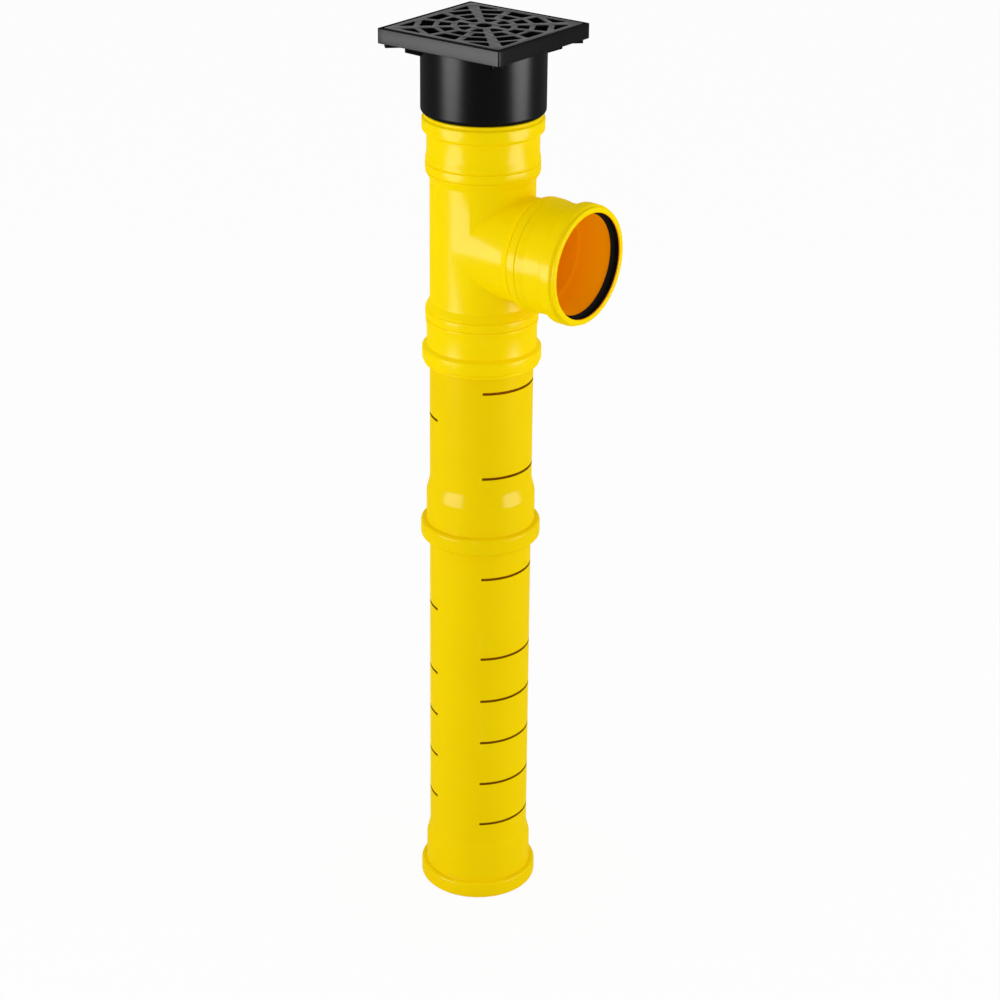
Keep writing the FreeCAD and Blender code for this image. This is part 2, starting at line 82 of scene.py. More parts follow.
def rounded(corners, steps=5):
    """Closed outline with round corners. Each (x, y, radius) corner becomes the arc of that radius that
    touches both of its sides: the centre lies a radius to the inner side of the touching point, and the
    arc swings by the turn between the sides. A radius of 0 keeps the corner. More columns are carried on."""
    corners = np.asarray(corners, float)
    here, radius, carried = corners[:, :2], corners[:, 2], corners[:, 3:]
    leaving = np.roll(here, -1, 0) - here
    leaving /= np.linalg.norm(leaving, axis=1, keepdims=True)
    coming = np.roll(leaving, 1, 0)
    sideways = coming[:, 0] * leaving[:, 1] - coming[:, 1] * leaving[:, 0]
    turn = np.arctan2(sideways, (coming * leaving).sum(1))
    reach = radius * np.tan(abs(turn) / 2)
    inward = np.stack([-coming[:, 1], coming[:, 0]], 1) * np.sign(turn)[:, None]
    centre = here - coming * reach[:, None] + inward * radius[:, None]
    spoke = (-inward * radius[:, None])[:, None, :]
    swing = turn[:, None] * np.linspace(0, 1, steps + 1)
    bent = np.stack([
        spoke[..., 0] * np.cos(swing) - spoke[..., 1] * np.sin(swing),
        spoke[..., 0] * np.sin(swing) + spoke[..., 1] * np.cos(swing),
    ], -1)
    points = (centre[:, None, :] + bent).reshape(-1, 2)
    points = np.column_stack([points, np.repeat(carried, steps + 1, 0)])
    apart = np.linalg.norm((points - np.roll(points, 1, 0))[:, :2], axis=1) > TINY
    return points[apart]


def turned(profile, angles):
    """Profile of (radius, height) rows carried round the Z axis: radius times cosine and sine of the
    column's angle, at the row's height. The angles are the same for all rows, or given row by row."""
    radius, height = profile[:, :1], profile[:, 1:2]
    angles = np.broadcast_to(angles, (len(profile), np.shape(angles)[-1]))
    return np.stack([radius * np.cos(angles), radius * np.sin(angles), height + 0 * angles], -1)


def grid_faces(numbers):
    """Four-sided faces between neighbouring rows and columns of an array of vertex numbers, the last
    row and column joined to the first."""
    above = np.roll(numbers, -1, 0)
    return np.stack([numbers, np.roll(numbers, -1, 1), np.roll(above, -1, 1), above], -1)


def make_piece(name, points, faces, bore=(), sawn=()):
    """Closed mesh from points in millimetres and faces of vertex numbers: equal points are joined, faces
    turned outwards, and edges sharper than the crease angle kept sharp. bore marks the points of inside
    walls with 1, and sawn marks sawn faces."""
    mesh = bpy.data.meshes.new(name)
    mesh.from_pydata((points.reshape(-1, 3) * MM).tolist(), [], faces)
    for mark, domain, amounts in (("bore", "POINT", bore), ("sawn", "FACE", sawn)):
        if len(amounts):
            column = mesh.attributes.new(mark, "FLOAT", domain)
            column.data.foreach_set("value", np.ravel(amounts).astype(np.float32))
    shape = bmesh.new()
    shape.from_mesh(mesh)
    bmesh.ops.remove_doubles(shape, verts=shape.verts, dist=TINY)
    bmesh.ops.recalc_face_normals(shape, faces=shape.faces)
    shape.to_mesh(mesh)
    shape.free()
    mesh.polygons.foreach_set("use_smooth", np.ones(len(mesh.polygons), bool))
    mesh.set_sharp_from_angle(angle=CREASE_ANGLE)
    piece = bpy.data.objects.new(name, mesh)
    bpy.context.scene.collection.objects.link(piece)
    return piece


def seal_groove(floor):
    """Corners of a seal's groove as (radius, depth in the socket, round), from its inner end to its outer:
    at each end the socket's wall meets the groove's side, and the side meets the floor."""
    radii = (SOCKET_INSIDE, floor, floor, SOCKET_INSIDE)
    depths = (GROOVE_END, GROOVE_END, GROOVE_START, GROOVE_START)
    return list(zip(radii, depths, GROOVE_ROUNDS))


def slotted_pipe(name, length, front_slots, rear_slots, lift):
    """Slotted pipe as one closed grid. Its section runs up the outside, over the head and down the inside;
    columns bunch so that one stands at each slot's end on both walls, the angle whose cosine is the saw's
    chord over the wall's radius. Cells in a slot are left out, and strips between the walls close it."""
    slots = [(height, FRONT_COLUMNS) for height in front_slots]
    slots += [(height, REAR_COLUMNS) for height in rear_slots]
    slots.sort(key=lambda slot: slot[0])
    heights = np.array([height for height, _ in slots])[:, None]
    edges = (heights + (-SLOT_HALF_WIDTH, SLOT_HALF_WIDTH)).ravel()
    slots_from, slots_to = edges[0] - SLOT_MARGIN, edges[-1] + SLOT_MARGIN
    foot = rounded([
        (MOUTH_FACE, 0, 0), (PIPE_BEAD, 0, BEAD_FOOT_ROUND), (PIPE_BEAD, PIPE_BEAD_LENGTH, BEAD_TOP_ROUND),
        (PIPE_BELL, PIPE_BEAD_LENGTH, BELL_FOOT_ROUND), (PIPE_BELL, PIPE_SOCKET_DEPTH, BELL_TOP_ROUND),
        (PIPE_OUTSIDE, PIPE_NECK_TOP, NECK_ROUND), (PIPE_OUTSIDE, slots_from, 0),
    ])
    head = rounded([
        (PIPE_OUTSIDE, slots_to, 0), (PIPE_OUTSIDE, length - SPIGOT_BEVEL, BEVEL_ROUND),
        (SPIGOT_TIP, length, TIP_ROUND), (PIPE_INSIDE, length, HEAD_ROUND), (PIPE_INSIDE, slots_to, 0),
    ])
    hollow = rounded([
        (PIPE_INSIDE, slots_from, 0), (PIPE_INSIDE, PIPE_NECK_TOP, NECK_ROUND),
        (SOCKET_INSIDE, PIPE_SOCKET_DEPTH, BELL_TOP_ROUND), *seal_groove(PIPE_GROOVE),
        (SOCKET_INSIDE, 0, MOUTH_ROUND), (MOUTH_FACE, 0, 0),
    ])[:-1]
    outer_wall = np.column_stack([np.full(len(edges), PIPE_OUTSIDE), edges])
    inner_wall = np.column_stack([np.full(len(edges), PIPE_INSIDE), edges[::-1]])
    profile = np.vstack([foot, outer_wall, head, inner_wall, hollow])
    inner_start = len(foot) + len(edges) + len(head)
    outer_row = len(foot) + np.arange(len(edges))
    inner_row = (inner_start + np.arange(len(edges)))[::-1]

    reach = np.arccos(SLOT_CHORD / np.clip(profile[:, :1], PIPE_INSIDE, PIPE_OUTSIDE))
    along_slot = np.linspace(-1, 1, SLOT_COLUMNS, endpoint=False)
    along_gap = np.linspace(0, 1, GAP_COLUMNS, endpoint=False)
    half_turn = np.hstack([reach * along_slot, reach + (np.pi - 2 * reach) * along_gap])
    angles = np.hstack([half_turn, half_turn + np.pi]) + SLOT_ROW_TURN
    points = turned(profile, angles)
    points[..., 2] += lift

    numbers = np.arange(points[..., 0].size).reshape(points.shape[:2])
    cells = grid_faces(numbers)
    kept = np.ones(numbers.shape, bool)
    strips = []
    for order, (_, columns) in enumerate(slots):
        low, high = 2 * order, 2 * order + 1
        kept[outer_row[low], columns] = False
        kept[inner_row[high], columns] = False
        line = np.append(columns, columns[-1] + 1)
        mouth = numbers[[outer_row[low], inner_row[low], inner_row[high], outer_row[high]]][:, line]
        for side in (0, 2):
            near, far = mouth[side], mouth[side + 1]
            strips += np.stack([near[:-1], near[1:], far[1:], far[:-1]], -1).tolist()
        strips += [mouth[:, 0].tolist(), mouth[:, -1].tolist()]
    bore = np.zeros(numbers.shape)
    bore[inner_start - 1:] = 1
    sawn = np.repeat([0, 1], [kept.sum(), len(strips)])
    return make_piece(name, points, cells[kept].tolist() + strips, bore, sawn)


class Tone:
    """Output socket in a material's nodes. Sums, differences and products of values add Math nodes, and
    node() adds any other node: its settings are set first, then its inputs are set or linked."""

    def __init__(self, tree, socket=None):
        self.tree, self.socket = tree, socket

    def node(self, kind, settings, inputs, output=0):
        made = self.tree.nodes.new(kind)
        for name, setting in settings.items():
            setattr(made, name, setting)
        for key, source in inputs.items():
            if isinstance(source, Tone):
                self.tree.links.new(source.socket, made.inputs[key])
            else:
                made.inputs[key].default_value = source
        return Tone(self.tree, made.outputs[output])

    def maths(self, operation, first, second):
        return self.node("ShaderNodeMath", {"operation": operation}, {0: first, 1: second})

    def __add__(self, other):
        return self.maths("ADD", self, other)

    def __sub__(self, other):
        return self.maths("SUBTRACT", self, other)

    def __rsub__(self, other):
        return self.maths("SUBTRACT", other, self)

    def __mul__(self, other):
        return self.maths("MULTIPLY", self, other)

    __radd__ = __add__
    __rmul__ = __mul__

    def into(self, socket):
        self.tree.links.new(self.socket, socket)


def new_finish(name, **plain):
    """Material whose shader has the plain numbers given by socket name, with its first Tone and shader."""
    material = bpy.data.materials.new(name)
    material.use_nodes = True
    shader = material.node_tree.nodes["Principled BSDF"]
    for socket, number in plain.items():
        shader.inputs[socket.replace("_", " ")].default_value = number
    return material, Tone(material.node_tree), shader


def grain(tone, spots, detail, stretch=(1, 1, 1)):
    """Noise over the piece's own place in metres, at so many spots to the metre, drawn out by a stretch."""
    place = tone.node("ShaderNodeTexCoord", {}, {}, "Object")
    place = tone.node("ShaderNodeMapping", {}, {"Vector": place, "Scale": stretch})
    return tone.node("ShaderNodeTexNoise", {}, {"Vector": place, "Scale": spots, "Detail": detail})


def blended(tone, share, first, second):
    """Colour that goes from the first to the second with the share."""
    return tone.node("ShaderNodeMix", {"data_type": "RGBA"}, {0: share, 6: first, 7: second}, 2)


def between(tone, amount, low, high):
    """Smooth step of an amount from 0 at low to 1 at high."""
    return tone.node("ShaderNodeMapRange", {"interpolation_type": "SMOOTHSTEP"},
                     {"Value": amount, "From Min": low, "From Max": high})


def relief(tone, height, strength, depth):
    """Normal of a surface that rises with the height, by a depth in metres at full strength."""
    return tone.node("ShaderNodeBump", {}, {"Strength": strength, "Distance": depth, "Height": height})


DRAWN_DEEP_YELLOW = (0.86, 0.61, 0.0, 1)
DRAWN_LIGHT_YELLOW = (0.92, 0.66, 0.0, 1)
LINE_YELLOW = (0.93, 0.72, 0.0, 1)
SCUFF_YELLOW = (0.95, 0.78, 0.06, 1)
# Painted light: inside walls get an orange colour and a faint glow for light that comes through the plastic
# and bounces inside it.
PAINTED_BORE_ORANGE = (0.84, 0.39, 0.0, 1)
PAINTED_BORE_GLOW = (0.15, 0.036, 0.0, 1)
NO_GLOW = (0, 0, 0, 1)
# Painted shade: the sawn faces inside the slots are coloured dark brown for the shade that falls in them.
PAINTED_SLOT_SHADE = (0.36, 0.18, 0.0, 1)
LINE_SHARE = 0.10
SCUFF_SHARE = 0.10
PVC_GLOSS = 0.056
SHADE_DULLS = 0.006
SCUFFS_DULL = 0.02
LINES_DULL = 0.006
LINES_HIDE_SKIN = 0.5


def yellow_pvc(name, die_lines, deep, light, bore_light_share):
    """Yellow PVC: slow changes of shade, fine lines along a drawn pipe or a faint moulded skin, painted
    shade in dark brown on sawn faces, and painted light on inside walls: an orange colour and a glow that
    stand in for light that comes through the plastic and bounces inside it. The gloss is a thin coat, which
    scuffs and lines dull a little and sawn faces lack."""
    material, tone, shader = new_finish(
        name, Specular_IOR_Level=0, Coat_Roughness=0.18, Emission_Strength=1)
    slow = grain(tone, spots=14, detail=3)
    lines = grain(tone, spots=900, detail=1, stretch=(1, 1, 0.004))
    skin = grain(tone, spots=2600, detail=2)
    scuffs = between(tone, grain(tone, spots=60, detail=6, stretch=(1, 1, 0.35)), low=0.62, high=0.75)
    wall = blended(tone, slow, deep, light)
    wall = blended(tone, lines * (LINE_SHARE * die_lines), wall, LINE_YELLOW)
    wall = blended(tone, scuffs * SCUFF_SHARE, wall, SCUFF_YELLOW)
    bore = tone.node("ShaderNodeAttribute", {"attribute_name": "bore"}, {}, "Fac")
    sawn = tone.node("ShaderNodeAttribute", {"attribute_name": "sawn"}, {}, "Fac")
    # Painted light on inside walls (orange colour and glow, by the bore light share), and painted shade in
    # brown on sawn faces.
    inside = bore * bore_light_share * (1 - sawn)
    wall = blended(tone, inside, wall, PAINTED_BORE_ORANGE)
    wall = blended(tone, sawn, wall, PAINTED_SLOT_SHADE)
    wall.into(shader.inputs["Base Color"])
    blended(tone, inside, NO_GLOW, PAINTED_BORE_GLOW).into(shader.inputs["Emission Color"])
    gloss = PVC_GLOSS - slow * SHADE_DULLS - scuffs * SCUFFS_DULL - lines * (LINES_DULL * die_lines)
    (gloss * (1 - sawn)).into(shader.inputs["Coat Weight"])
    height = lines * die_lines + skin * (1 - LINES_HIDE_SKIN * die_lines)
    relief(tone, height, strength=0.06, depth=0.0004).into(shader.inputs["Normal"])
    return material


drawn_pvc = yellow_pvc(
    "drawn_yellow_pvc", die_lines=1, deep=DRAWN_DEEP_YELLOW, light=DRAWN_LIGHT_YELLOW, bore_light_share=0.2)
lower_pipe = slotted_pipe("lower_pipe_wall", LOWER_PIPE_LENGTH, LOWER_FRONT_SLOTS, LOWER_REAR_SLOTS, lift=0)
lower_pipe.data.materials.append(drawn_pvc)
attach(lower_pipe, "lower_pipe")
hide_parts("lower_pipe")

# Upper drain pipe: a shorter length of the same drawn and slotted PVC, pushed down over the lower pipe's
# head until the bevel meets the neck of its socket.
UPPER_PIPE_LENGTH = 252.0
UPPER_FRONT_SLOTS = [87.0, 184.0]
UPPER_REAR_SLOTS = [143.5]
UPPER_MOUTH = 431.5

upper_pipe = slotted_pipe(
    "upper_pipe_wall", UPPER_PIPE_LENGTH, UPPER_FRONT_SLOTS, UPPER_REAR_SLOTS, lift=UPPER_MOUTH)
upper_pipe.data.materials.append(drawn_pvc)
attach(upper_pipe, "upper_pipe")
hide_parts("upper_pipe")

# Tee: one injection moulding in the same PVC, with a straight run and a branch of equal bore that meet on
# a saddle. Each end is a push-fit socket with a lip, a bead over the seal groove, a bell and a raised ring
# with a thin moulded line along both of its edges. Places on an arm are depths below its mouth.
TEE_COLUMNS = 192
TEE_CENTRE = 768.55
TEE_HALF_LENGTH = 134.95
BRANCH_REACH = 135.0
BRANCH_FALL = np.radians(1.1)
TEE_LIP = 61.35
TEE_LIP_LENGTH = 3.2
TEE_BEAD = 63.15
TEE_BEAD_LENGTH = 19.7
TEE_BELL = 58.25
TEE_BELL_END = 40.6
TEE_RING = 59.7
TEE_FLARE_END = 47.5
TEE_CREASE = 50.4
TEE_RING_END = 60.2
TEE_TAPER_END = 69.5
TEE_SOCKET_DEPTH = 50.2
TEE_GROOVE = 59.95
LIP_LINE_DEPTH = 1.0
LIP_LINE_SHIFT = 0.3
LIP_BACK = 1.0
LIP_EDGE_ROUND, LIP_BACK_ROUND, LIP_LINE_ROUND = 1.3, 0.8, 0.3
BEAD_FRONT = 1.8
BEAD_SLOPE = 2.0
BELL_FOOT_RISE = 0.6
BEAD_FRONT_ROUND, BEAD_SLOPE_ROUND, BEAD_CREASE_ROUND = 1.4, 2.4, 0.8
BELL_ROUND, FLARE_ROUND, TAPER_ROUND = 8.0, 2.0, 3.0
RING_PROUD = 0.2
NEAR_LINE_DEPTH, NEAR_LINE_BEFORE, NEAR_LINE_AFTER = 1.4, 0.8, 0.9
FAR_LINE_DEPTH, FAR_LINE_SHIFT, FAR_LINE_BEFORE, FAR_LINE_AFTER = 1.3, 0.2, 0.6, 0.8
LINE_FLOOR_ROUND, LINE_SIDE_ROUND = 0.2, 0.3
RING_NEAR_ROUND, RING_FAR_ROUND = 0.6, 0.5
TEE_MOUTH_ROUND, STOP_ROUND = 1.1, 0.4
# Painted light: the tee's yellow is made lighter than the pipes' yellow of the same PVC, for the brighter
# light that falls on the tee.
PAINTED_LIT_TEE_DEEP_YELLOW = (0.93, 0.69, 0.0, 1)
PAINTED_LIT_TEE_LIGHT_YELLOW = (0.99, 0.74, 0.0, 1)
FLIPPED = (1, 1, -1)


def full_turn(columns):
    """Angles of so many columns, spaced evenly round the axis."""
    return np.arange(columns) * 2 * np.pi / columns


def tee_arm(reach):
    """Section of one arm as (radius, distance from the tee's centre) rows, from the saddle along the
    outside to the mouth, over the rim and back along the inside to the inner saddle. The corners are given
    by their depth below the mouth."""
    outside = [
        (PIPE_OUTSIDE, TEE_TAPER_END, TAPER_ROUND),
        (TEE_RING - RING_PROUD, TEE_RING_END + FAR_LINE_AFTER, LINE_SIDE_ROUND),
        (TEE_RING - FAR_LINE_DEPTH, TEE_RING_END + FAR_LINE_SHIFT, LINE_FLOOR_ROUND),
        (TEE_RING, TEE_RING_END - FAR_LINE_BEFORE, RING_FAR_ROUND),
        (TEE_RING, TEE_CREASE + NEAR_LINE_AFTER, RING_NEAR_ROUND),
        (TEE_RING - NEAR_LINE_DEPTH, TEE_CREASE, LINE_FLOOR_ROUND),
        (TEE_RING - RING_PROUD, TEE_CREASE - NEAR_LINE_BEFORE, LINE_SIDE_ROUND),
        (TEE_RING - RING_PROUD, TEE_FLARE_END, FLARE_ROUND),
        (TEE_BELL, TEE_BELL_END, BELL_ROUND),
        (TEE_BELL, TEE_BEAD_LENGTH + BELL_FOOT_RISE, BEAD_CREASE_ROUND),
        (TEE_BEAD, TEE_BEAD_LENGTH - BEAD_SLOPE, BEAD_SLOPE_ROUND),
        (TEE_BEAD, TEE_LIP_LENGTH + BEAD_FRONT, BEAD_FRONT_ROUND),
        (TEE_LIP - LIP_LINE_DEPTH, TEE_LIP_LENGTH + LIP_LINE_SHIFT, LIP_LINE_ROUND),
        (TEE_LIP, TEE_LIP_LENGTH - LIP_BACK, LIP_BACK_ROUND),
        (TEE_LIP, 0, LIP_EDGE_ROUND),
    ]
    inside = [
        (SOCKET_INSIDE, 0, TEE_MOUTH_ROUND), *seal_groove(TEE_GROOVE)[::-1],
        (SOCKET_INSIDE, TEE_SOCKET_DEPTH, STOP_ROUND), (PIPE_INSIDE, TEE_SOCKET_DEPTH, STOP_ROUND),
    ]
    corners = np.array(outside + inside) * (1, -1, 1) + (0, reach, 0)
    return rounded(np.vstack([(PIPE_OUTSIDE, 0, 0), corners, (PIPE_INSIDE, 0, 0)]), steps=4)


def tee_grid(reach, saddle):
    """Rows and columns of one arm round its own axis as (across, aside, along), and the marks of its inside.
    The first and last rows lie on the saddle, where two equal cylinders meet: as far along as the radius
    times the saddle's share."""
    section = tee_arm(reach)
    angles = full_turn(TEE_COLUMNS)
    arm = turned(section, angles)
    arm[0, :, 2] = PIPE_OUTSIDE * saddle(np.cos(angles))
    arm[-1, :, 2] = PIPE_INSIDE * saddle(np.cos(angles))
    mouth_row = np.flatnonzero(section[:, 1] > reach - TINY)[-1]
    bore = np.zeros(arm.shape[:2])
    bore[mouth_row + 2:] = 1
    return arm, bore


def along_branch(points):
    """Points about the Z axis laid along the branch: what was up goes out along X and falls by the branch's
    angle, and what was along X goes up."""
    across, aside, along = np.moveaxis(points, -1, 0)
    out = along * np.cos(BRANCH_FALL) + across * np.sin(BRANCH_FALL)
    up = across * np.cos(BRANCH_FALL) - along * np.sin(BRANCH_FALL)
    return np.stack([out, aside, up + TEE_CENTRE], -1)


# The branch falls, so it meets the run nearer to the tee's centre above than below.
above = np.cos(BRANCH_FALL) / (1 + np.sin(BRANCH_FALL))
below = np.cos(BRANCH_FALL) / (1 - np.sin(BRANCH_FALL))
upper_run, _ = tee_grid(TEE_HALF_LENGTH, lambda cosine: np.maximum(cosine, 0) * above)
lower_run, run_bore = tee_grid(TEE_HALF_LENGTH, lambda cosine: np.maximum(cosine, 0) * below)
side, side_bore = tee_grid(BRANCH_REACH, lambda cosine: np.maximum(cosine * above, -cosine * below))
arms = np.stack([
    lower_run * FLIPPED + (0, 0, TEE_CENTRE),
    upper_run + (0, 0, TEE_CENTRE),
    along_branch(side),
])
numbers = np.arange(arms[..., 0].size).reshape(len(arms), -1, TEE_COLUMNS)
faces = np.concatenate([grid_faces(arm)[:-1].reshape(-1, 4) for arm in numbers])
tee = make_piece("tee_moulding", arms, faces.tolist(), np.stack([run_bore, run_bore, side_bore]))
tee.data.materials.append(yellow_pvc(
    "moulded_yellow_pvc", die_lines=0, deep=PAINTED_LIT_TEE_DEEP_YELLOW, light=PAINTED_LIT_TEE_LIGHT_YELLOW, bore_light_share=1))
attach(tee, "tee")
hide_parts("tee")

# Seals: moulded rubber rings that sit in the grooves of the five sockets. Where a pipe is home its wall
# presses them flat, and in the two open sockets the lip leans into the bore.
SEAL_COLUMNS = 160
SEAL_PLAY = 0.1
SEAL_EDGE_ROUND = 0.8
RIDGE_GAP_HALF = 1.2
RIDGE_GAP_DEPTH = 0.9
RIDGE_ROUND = 0.5
SEAL_BACK = SOCKET_INSIDE + 1.2
SEAL_LIP_SET_BACK = 1.6
SEAL_LIP_ROUND = 0.6
SEAL_WAIST = SOCKET_INSIDE + 0.9
SEAL_WAIST_ROUND = 1.2
SEAL_NOSE_DEPTH = 1.4
SEAL_NOSE_ROUND = 0.7
SEAL_FRONT = SOCKET_INSIDE + 0.2
SEAL_FRONT_ROUND = 0.4
PRESSED_LIP = SOCKET_INSIDE - 0.15
FREE_LIP = SOCKET_INSIDE - 3.0
RUBBER_DEEP = (0.003, 0.003, 0.003, 1)
RUBBER_LIGHT = (0.008, 0.008, 0.008, 1)
RUBBER_GLOSS = 0.06
BLOOM_GLOSS = 0.04


def seal_section(groove, lip):
    """Section of a seal as (radius, depth below the mouth): a body that fills the groove, two ridges that
    bear on its floor, and a lip whose edge stands at the lip's radius."""
    top, start, end = groove - SEAL_PLAY, GROOVE_START + SEAL_PLAY, GROOVE_END - SEAL_PLAY
    middle = (GROOVE_START + GROOVE_END) / 2
    return rounded([
        (top, start, SEAL_EDGE_ROUND), (top, middle - RIDGE_GAP_HALF, RIDGE_ROUND),
        (groove - RIDGE_GAP_DEPTH, middle, SEAL_EDGE_ROUND),
        (top, middle + RIDGE_GAP_HALF, RIDGE_ROUND), (top, end, SEAL_EDGE_ROUND),
        (SEAL_BACK, end, SEAL_EDGE_ROUND), (lip, GROOVE_END - SEAL_LIP_SET_BACK, SEAL_LIP_ROUND),
        (SEAL_WAIST, middle, SEAL_WAIST_ROUND),
        (SOCKET_INSIDE, GROOVE_START + SEAL_NOSE_DEPTH, SEAL_NOSE_ROUND),
        (SEAL_FRONT, start, SEAL_FRONT_ROUND),
    ], steps=4)


def ring_piece(name, points):
    """Closed mesh of a grid of points whose rows and columns both run back to where they start."""
    numbers = np.arange(points[..., 0].size).reshape(points.shape[:2])
    return make_piece(name, points, grid_faces(numbers).reshape(-1, 4).tolist())


def black_rubber():
    """Dull black sealing rubber: a fine skin from the mould and a thin uneven bloom."""
    material, tone, shader = new_finish("sealing_rubber", Specular_IOR_Level=0, Coat_Roughness=0.6)
    bloom = grain(tone, spots=120, detail=4)
    skin = grain(tone, spots=3200, detail=2)
    blended(tone, bloom, RUBBER_DEEP, RUBBER_LIGHT).into(shader.inputs["Base Color"])
    (RUBBER_GLOSS + bloom * BLOOM_GLOSS).into(shader.inputs["Coat Weight"])
    relief(tone, skin, strength=0.15, depth=0.0003).into(shader.inputs["Normal"])
    return material


rubber = black_rubber()
for node, body, groove, lip, place in (
    ("lower_pipe_seal", "lower_pipe", PIPE_GROOVE, FREE_LIP,
     lambda ring: ring),
    ("upper_pipe_seal", "upper_pipe", PIPE_GROOVE, PRESSED_LIP,
     lambda ring: ring + (0, 0, UPPER_MOUTH)),
    ("tee_bottom_seal", "tee", TEE_GROOVE, PRESSED_LIP,
     lambda ring: ring + (0, 0, TEE_CENTRE - TEE_HALF_LENGTH)),
    ("tee_top_seal", "tee", TEE_GROOVE, PRESSED_LIP,
     lambda ring: ring * FLIPPED + (0, 0, TEE_CENTRE + TEE_HALF_LENGTH)),
    ("branch_seal", "tee", TEE_GROOVE, FREE_LIP,
     lambda ring: along_branch(ring * FLIPPED + (0, 0, BRANCH_REACH))),
):
    ring = turned(seal_section(groove, lip), full_turn(SEAL_COLUMNS))
    seal = ring_piece(node + "_ring", place(ring))
    seal.data.materials.append(rubber)
    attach(seal, body)
    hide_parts(node)

# Gully: one black polypropylene moulding. A plain spigot goes into the tee's top socket, a wider sleeve
# stands on the tee's rim, and a square frame with a tray for the grate closes it. Heights are above the
# foot of the lower pipe.
GULLY_SHOULDER = 903.8
SPIGOT_FOOT = 857.6
SLEEVE = 64.4
SLEEVE_BORE = 60.9
SLEEVE_FLOOR = GULLY_SHOULDER + 4.0
FRAME_BOTTOM = 975.8
PLATE_UNDER = 980.3
TRAY_FLOOR = 983.3
FRAME_TOP = 991.3
FRAME_HALF = 76.15
TRAY_HALF = 74.15
FRAME_CORNER = 2.0
LEAST_CORNER = 0.4
SIDE_COLUMNS = 36
CORNER_COLUMNS = 8
ROUND, SQUARE = 0, 1
SPIGOT_BORE_ROUND, SPIGOT_TIP_ROUND, SPIGOT_BEVEL_ROUND, SPIGOT_TOP_ROUND = 0.3, 0.4, 4.0, 0.4
SLEEVE_FLOOR_ROUND, SLEEVE_TOP_ROUND, SLEEVE_FOOT_ROUND, SLEEVE_HEAD_ROUND = 1.5, 0.6, 4.5, 1.5
TRAY_ROUND, RIM_ROUND, RIM_FOOT_ROUND, RIM_BACK_ROUND = 0.5, 0.7, 0.6, 0.4
QUARTER_TURNS = [np.array([[c, s], [-s, c]]) for c, s in ((1, 0), (0, 1), (-1, 0), (0, -1))]
BLACK_DEEP = (0.001, 0.001, 0.001, 1)
BLACK_LIGHT = (0.003, 0.003, 0.003, 1)
DUST_GREY = (0.16, 0.15, 0.14, 1)
DUST_SHARE = 0.05
GULLY_GLOSS = 0.0846
GRIT_GLOSS = 0.0147


def gully_rings(profile):
    """Rings of a moulding that is round below and square above, one for each (size, height, squareness)
    row. A round ring is the size times a unit direction. A square one is a unit square times the half
    width less the corner's round, plus the round times a unit normal. Both use the same directions."""
    size, height, square = profile[:, :1, None], profile[:, 1:2], profile[:, 2:, None]
    tangent = np.tan(np.radians(np.linspace(-45, 45, SIDE_COLUMNS)))
    swing = np.radians(np.linspace(0, 90, CORNER_COLUMNS + 2)[1:-1])
    flat = np.stack([np.ones(SIDE_COLUMNS), tangent], -1)
    corner = np.ones((CORNER_COLUMNS, 2))
    side_normal = np.tile([1.0, 0.0], (SIDE_COLUMNS, 1))
    corner_normal = np.stack([np.cos(swing), np.sin(swing)], -1)
    quarter = np.vstack([flat, corner]), np.vstack([side_normal, corner_normal])
    outline, normal = (np.vstack([part @ turn for turn in QUARTER_TURNS]) for part in quarter)
    round_off = np.maximum(FRAME_CORNER + size - FRAME_HALF, LEAST_CORNER)
    squares = (size - round_off) * outline + round_off * normal
    direction = (FRAME_HALF - FRAME_CORNER) * outline + FRAME_CORNER * normal
    direction /= np.linalg.norm(direction, axis=1, keepdims=True)
    flat_rings = np.where(square == SQUARE, squares, size * direction)
    return np.dstack([flat_rings, np.broadcast_to(height, flat_rings.shape[:2])])


def black_polypropylene(name, **plain):
    """Black polypropylene with faint flow marks, fine grain and a little pale dust, and the plain numbers of
    its shader. Gives the material, its shader, and the flow marks and grain for the gloss to follow."""
    material, tone, shader = new_finish(name, **plain)
    flow = grain(tone, spots=22, detail=4, stretch=(1, 1, 0.3))
    grit = grain(tone, spots=1700, detail=3)
    dust = between(tone, grain(tone, spots=420, detail=5), low=0.60, high=0.78)
    wall = blended(tone, flow, BLACK_DEEP, BLACK_LIGHT)
    blended(tone, dust * DUST_SHARE, wall, DUST_GREY).into(shader.inputs["Base Color"])
    relief(tone, grit, strength=0.14, depth=0.0003).into(shader.inputs["Normal"])
    return material, shader, flow, grit


